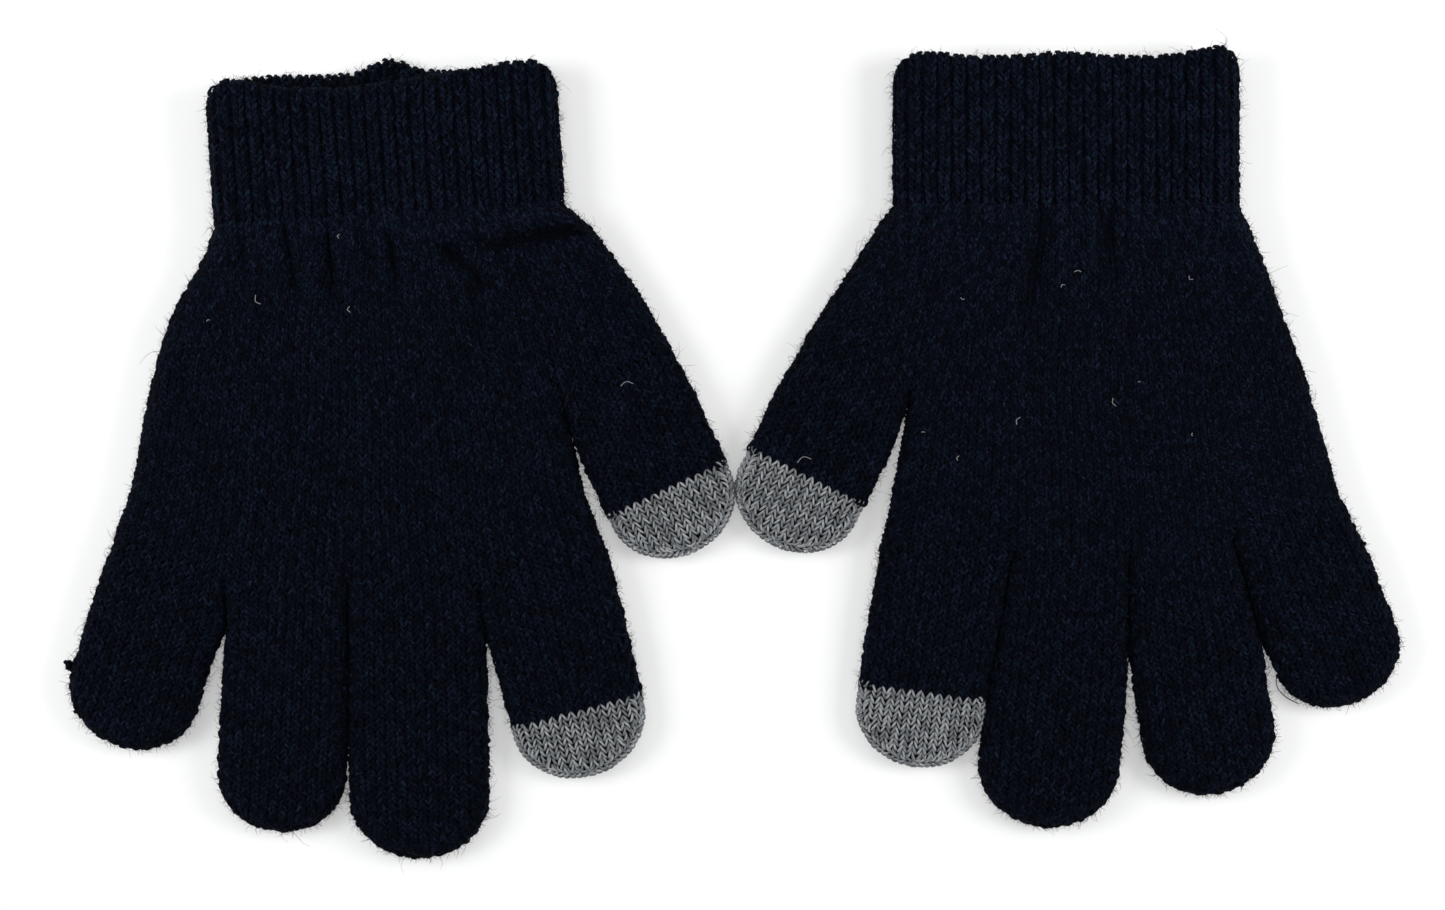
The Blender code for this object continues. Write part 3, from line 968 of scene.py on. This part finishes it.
def palm_grids(hand):
    """From above, the two grids of nodes that a palm's layers are knitted on. Their wales run on
    from those of the fingers, and from the lower grid to the upper one."""
    glove = GLOVES[hand]
    knuckles = placed(glove["knuckles"])
    runs = zip(knuckles, knuckles[1:], strict=False)
    bottom = [np.linspace(a, b, WALES, endpoint=False) for a, b in runs]
    bottom = np.concatenate([*bottom, knuckles[-1:]])
    sides = "left", "right"
    low_left, low_right = (flowing(placed(glove[f"low_{side}"]), LOWER_ROWS) for side in sides)
    waist = np.linspace(low_left[-1], low_right[-1], len(bottom))
    lower = coons(bottom, waist, low_left, low_right)
    high_left, high_right = (flowing(placed(glove[f"high_{side}"]), UPPER_ROWS) for side in sides)
    if glove["thumb_side"] == "right":
        bottom = np.concatenate([waist, np.linspace(waist[-1], high_right[0], WALES + 1)[1:]])
    else:
        bottom = np.concatenate([np.linspace(high_left[0], waist[0], WALES + 1)[:-1], waist])
    top = np.linspace(high_left[-1], high_right[-1], len(bottom))
    return lower, coons(bottom, top, high_left, high_right)


def palm_sides(hand):
    """The stitches down a palm's free sides."""
    made = []
    for name, line in palm_edges(GLOVES[hand]).items():
        line = by_course(line)
        towards = -1.0 if name.endswith("left") else 1.0
        step = np.gradient(line, axis=0)
        line = line - EDGE_INSET * towards * unit(np.stack([step[:, 1], -step[:, 0]], 1))
        made.append(side_stitches(line, palm_half(hand, line), towards))
    return together(*made)


def build_palm(hand):
    lower, upper = palm_grids(hand)
    for side, word in ((1, "front"), (-1, "back")):
        groups, inner = [], []
        for grid in (lower, upper):
            nodes = palm_surface(hand, grid, side)
            centre = (grid[:-1, :-1] + grid[1:, 1:]) / 2
            edge, _ = palm_relief(hand, centre)
            # Painted shade at the bottoms of folds in the upper layer, and painted light near the cuff,
            # stronger in line with its ribs.
            shade = 1.0 - FOLD_SHADE * smooth(fold_depth(hand, centre) / DEEP_FOLD) * (side > 0)
            ribbed = bell(seam_distance(hand, centre), 0.0, CUFF_REACH)
            shade = shade * (1.0 + ribbed * (CUFF_LIGHT + RIB_LIGHT * rib_wave(hand, centre)))
            groups.append(stitches_on(nodes, side, edge > SIDE_KEPT, shade))
            under = palm_surface(hand, grid, side, LINING) - (0, 0, side * LINING)
            inner.append(inner_face(under, side))
        stitches = together(*groups)
        parts = black_knit(stitches) + inner + fibres(stitches, 0.12, 2.4)
        if side > 0:
            over_palm = partial(palm_surface, hand, side=1)
            parts += [lint_bit(over_palm, *bit) for bit in LINT[hand][:-1]]
        add_palm_piece(hand, word, parts)
    sides = palm_sides(hand)
    knitted = black_knit(twisted(sides, SIDE_TWIST), SIDE_JITTER)
    add_palm_piece(hand, "edge", knitted + edge_fibres(sides))


def add_palm_piece(hand, word, parts):
    palm = make_mesh(f"{hand}_palm_{word}_knit", parts, BLACK)
    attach(palm, f"{hand}_hand_body")
    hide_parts(f"{hand}_palm")


# Cuffs

LIP = 1.5  # radius of the rolled edge
WELT = 4.5
TURNED_IN = 16.0  # how far the inside of the mouth is knitted
CORNER = 4.5  # radius of the mouth's corners from above
CORNER_DEPTH = 3.2
WAIST = 0.3  # how deep the seam lies
WAIST_LENGTH = 5.0
OPEN_BY = {"left": 2.2, "right": -0.4}  # how far the upper layer of the mouth is lifted
OPEN_SHAPE = (-6.0, 26.0)  # where that is, and over what half-width

# The columns of a cuff, raised and sunken: place in a rib, width, height and brightness, which is
# painted light on the raised columns and painted shade on the sunken ones.
RIB_COLUMNS = ((0.0, 2.25, 0.28, 1.35), (0.5, 1.65, -0.40, 0.8))
RIB_SWAY = 0.0011

# The edge of the mouth, for the upper and the lower layer: level, then the height, middle and
# half-width of each wave.
MOUTHS = {
    "left": (
        (0.0, ((1.4, -37.0, 9.0), (-2.7, -8.0, 22.0), (1.2, 34.0, 12.0))),
        (0.0, ((2.2, -30.0, 16.0), (1.6, 0.0, 24.0), (3.0, 2.0, 6.0), (1.0, 34.0, 12.0))),
    ),
    "right": (
        (-0.1, ((1.0, -33.0, 6.0), (1.0, -1.0, 9.0), (2.3, 37.0, 9.0))),
        (-0.5, ((1.0, -33.0, 6.0), (1.0, -1.0, 9.0), (2.3, 37.0, 9.0))),
    ),
}

ELASTIC_TURNS = 6
ELASTIC_START, ELASTIC_REACH = 4.0, 12.0  # from the seam
ELASTIC_DEPTH = 1.9  # inside the cuff's yarn
ELASTIC_YARN = 0.4


def mouth_line(hand, x, upper):
    """How much longer than its nominal length a cuff is at x, for its upper or lower layer."""
    front, back = (
        level + sum(high * bell(x, middle, wide) for high, middle, wide in waves)
        for level, waves in MOUTHS[hand]
    )
    return upper * front + (1.0 - upper) * back


def cuff_runs(hand):
    """How wide a cuff's flat part is, and how far it is round each of its sides."""
    half_wide = GLOVES[hand]["cuff"]["width"] / 2 - EDGE_INSET
    return 2 * (half_wide - CUFF_HALF), math.pi * CUFF_HALF


def cuff_point(hand, around, q):
    """A 3-D point of a cuff. around goes once round it from its -X side over the top; q is the way
    from the seam along the outside, over the lip and down the inside."""
    cuff = GLOVES[hand]["cuff"]
    middle, down, across = joint_line(f"{hand}_wrist_bend")
    half_wide, length = cuff["width"] / 2 - EDGE_INSET, cuff["length"] - LIP
    flat_run, bend_run = cuff_runs(hand)
    at = (around % 1.0) * 2 * (flat_run + bend_run) - bend_run / 2
    second = at > flat_run + bend_run / 2
    turned = np.where(second, at - flat_run - bend_run, at)
    over = np.clip(turned, 0.0, flat_run)
    angle = np.where(turned < 0, turned, np.maximum(turned - flat_run, 0.0)) / CUFF_HALF
    x = -flat_run / 2 + over + CUFF_HALF * np.sin(angle)
    z = CUFF_HALF * np.cos(angle)
    normal_x, normal_z = np.sin(angle), np.cos(angle)
    flip = np.where(second, -1.0, 1.0)
    x, z, normal_x, normal_z = x * flip, z * flip, normal_x * flip, normal_z * flip
    corner = np.clip((np.abs(x) - (half_wide - CORNER)) / CORNER, 0.0, 1.0)
    cut = CORNER_DEPTH * (1.0 - np.sqrt(np.maximum(1.0 - corner**2, 0.0)))
    upper = smooth(0.5 + 0.5 * z / CUFF_HALF)
    reach = length + mouth_line(hand, x, upper) - cut
    lip_run = math.pi * LIP
    lip_angle = np.clip((q - length) / LIP, 0.0, math.pi)
    inside = np.maximum(q - length - lip_run, 0.0)
    along = np.minimum(q / length, 1.0) * reach + LIP * np.sin(lip_angle) - inside
    inward = LIP * (1.0 - np.cos(lip_angle))
    share = np.clip(along / length, 0.0, 1.0)
    lift = OPEN_BY[hand] * upper * smooth(share) * bell(x, *OPEN_SHAPE)
    waist = WAIST * (1.0 - smooth(along / WAIST_LENGTH)) * np.abs(normal_z)
    radial = -inward - waist
    x = x + radial * normal_x
    z = z + radial * normal_z + lift
    flat = middle + x[..., None] * across - along[..., None] * down
    return np.concatenate([flat, (z + CUFF_HALF + YARN)[..., None]], -1)


def cuff_stitches(hand, q_from, q_to):
    """Raised columns of knit and sunken ones of purl between two lines round a cuff."""
    rows = round((q_to - q_from) / COURSE)
    q = q_from + (np.arange(rows) + 0.5) * (q_to - q_from) / rows
    groups = []
    # bright is painted light on the raised columns and painted shade on the sunken ones.
    for phase, wide, lift, bright in RIB_COLUMNS:
        around = (np.arange(RIBS) + phase) / RIBS
        a, along = np.meshgrid(around, q)
        a = a + RIB_SWAY * np.sin(along / 5.0 + 9.0 * a * RIBS)
        at = cuff_point(hand, a, along)
        step = 0.002
        round_it = (cuff_point(hand, a + step, along) - cuff_point(hand, a - step, along)) / 2
        up_it = (cuff_point(hand, a, along + 0.3) - cuff_point(hand, a, along - 0.3)) / 0.6
        out = unit(np.cross(round_it, up_it))
        groups.append({
            "at": (at + lift * out).reshape(-1, 3),
            "across": (unit(round_it) * wide).reshape(-1, 3),
            "along": (up_it * COURSE).reshape(-1, 3),
            "out": out.reshape(-1, 3),
            "shade": np.full(a.size, bright),
        })
    return together(*groups)


def cuff_inner(hand, q_from, q_to):
    rows, per_row = 16, 120
    a, q = np.meshgrid(np.arange(per_row) / per_row, np.linspace(q_from, q_to, rows))
    at = cuff_point(hand, a, q)
    round_it = cuff_point(hand, a + 0.003, q) - cuff_point(hand, a - 0.003, q)
    up_it = cuff_point(hand, a, q + 0.3) - cuff_point(hand, a, q - 0.3)
    at = at - LINING * unit(np.cross(round_it, up_it))
    # Tone 0 paints the cuff's inner face in the deep colour, as shade between the stitches and inside
    # the mouth.
    return plain(at.reshape(-1, 3), sheet_faces(rows, per_row, closed=True), 0.0)


def cuff_parts(hand, q_from, q_to, inner_from, jitter, fuzz):
    stitches = cuff_stitches(hand, q_from, q_to)
    parts = black_knit(stitches, jitter) + [cuff_inner(hand, inner_from, q_to)]
    parts += fibres(stitches, fuzz, 2.8, root_height=0.4)
    return parts + edge_fibres(facing_sideways(stitches))


def build_cuff(hand):
    length = GLOVES[hand]["cuff"]["length"]
    welt_line = length - WELT
    parts = cuff_parts(hand, 0.0, welt_line, -0.5, 0.075, 0.25)
    tube = make_mesh(f"{hand}_cuff_knit", parts, BLACK)
    bodies = f"{hand}_hand_body", f"{hand}_cuff_body"
    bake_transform(tube)
    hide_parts(f"{hand}_cuff")
    last = length - LIP + math.pi * LIP + TURNED_IN
    parts = cuff_parts(hand, welt_line, last, welt_line, 0.09, 0.4)
    welt = make_mesh(f"{hand}_cuff_welt_knit", parts, BLACK)
    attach(welt, bodies[1])
    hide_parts(f"{hand}_cuff_welt")
    build_elastic(hand)


def build_elastic(hand):
    """The elastic yarn, wound round the inside of the cuff wall."""
    per_turn = 60
    around = np.linspace(0.0, ELASTIC_TURNS, ELASTIC_TURNS * per_turn + 1)
    q = ELASTIC_START + ELASTIC_REACH * around / ELASTIC_TURNS
    at = cuff_point(hand, around, q)
    ahead = cuff_point(hand, around + 0.003, q)
    up_it = cuff_point(hand, around, q + 0.3) - at
    out = unit(np.cross(ahead - at, up_it))
    ring = np.radians(np.linspace(0.0, 360.0, 7))
    lines = (at - ELASTIC_DEPTH * out)[None]
    radius = np.full(lines.shape[:2], ELASTIC_YARN)
    points, faces, _ = half_tubes(lines, np.array([[0.0, 1.0, 0.0]]), radius, ring)
    elastic = make_mesh(f"{hand}_cuff_elastic_yarn", [plain(points, faces, 0.6)], ELASTIC)
    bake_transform(elastic)
    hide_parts(f"{hand}_cuff_elastic")


for hand_name, hand_glove in GLOVES.items():
    for finger_name in hand_glove["fingers"]:
        build_finger(hand_name, finger_name)
    build_palm(hand_name)
    build_cuff(hand_name)


# Camera, floor and lights

CAMERA_HEIGHT = 0.62
CAMERA_AT = (-0.00264, 0.0003)
GLOVE_MIDDLE = 0.005
VIEW_WIDTH = 0.3468  # what the frame takes in at the gloves' middle height
SENSOR = 36.0
LIGHTS = (  # name, place, size and power
    ("left_softbox", (-0.62, 0.06, 0.50), 0.35, 3.3),
    ("right_softbox", (0.62, 0.06, 0.50), 0.35, 3.3),
    ("top_fill", (0.0, 0.30, 1.1), 0.9, 3.6),
)
FLOOR_GLOW = 0.32
WORLD_GLOW = 0.33


def make_camera():
    camera = bpy.data.cameras.new("camera")
    camera.sensor_width = SENSOR
    camera.lens = SENSOR * (CAMERA_HEIGHT - GLOVE_MIDDLE) / VIEW_WIDTH
    holder = bpy.data.objects.new("camera", camera)
    holder.location = (*CAMERA_AT, CAMERA_HEIGHT)
    bpy.context.scene.collection.objects.link(holder)
    bpy.context.scene.camera = holder


def make_floor():
    material, _, shader = new_material("pale_floor")
    shader.inputs["Base Color"].default_value = (0.62, 0.623, 0.626, 1.0)
    shader.inputs["Roughness"].default_value = 0.7
    shader.inputs["Emission Color"].default_value = (1.0, 1.0, 1.0, 1.0)
    shader.inputs["Emission Strength"].default_value = FLOOR_GLOW
    bpy.ops.mesh.primitive_plane_add(size=4.0, location=(0.0, 0.0, 0.0))
    floor = bpy.context.object
    floor.name = "floor"
    floor.data.materials.append(material)


def make_light(name, place, size, power):
    lamp = bpy.data.lights.new(name, "AREA")
    lamp.size = size
    lamp.energy = power
    holder = bpy.data.objects.new(name, lamp)
    holder.location = place
    holder.rotation_euler = (-Vector(place)).to_track_quat("-Z", "Y").to_euler()
    bpy.context.scene.collection.objects.link(holder)


def make_world(strength):
    world = bpy.data.worlds.new("studio")
    world.use_nodes = True
    world.node_tree.nodes["Background"].inputs["Color"].default_value = (1.0, 1.0, 1.0, 1.0)
    world.node_tree.nodes["Background"].inputs["Strength"].default_value = strength
    bpy.context.scene.world = world


make_camera()
make_floor()
for light in LIGHTS:
    make_light(*light)
make_world(WORLD_GLOW)
bpy.context.scene.view_settings.view_transform = "Standard"
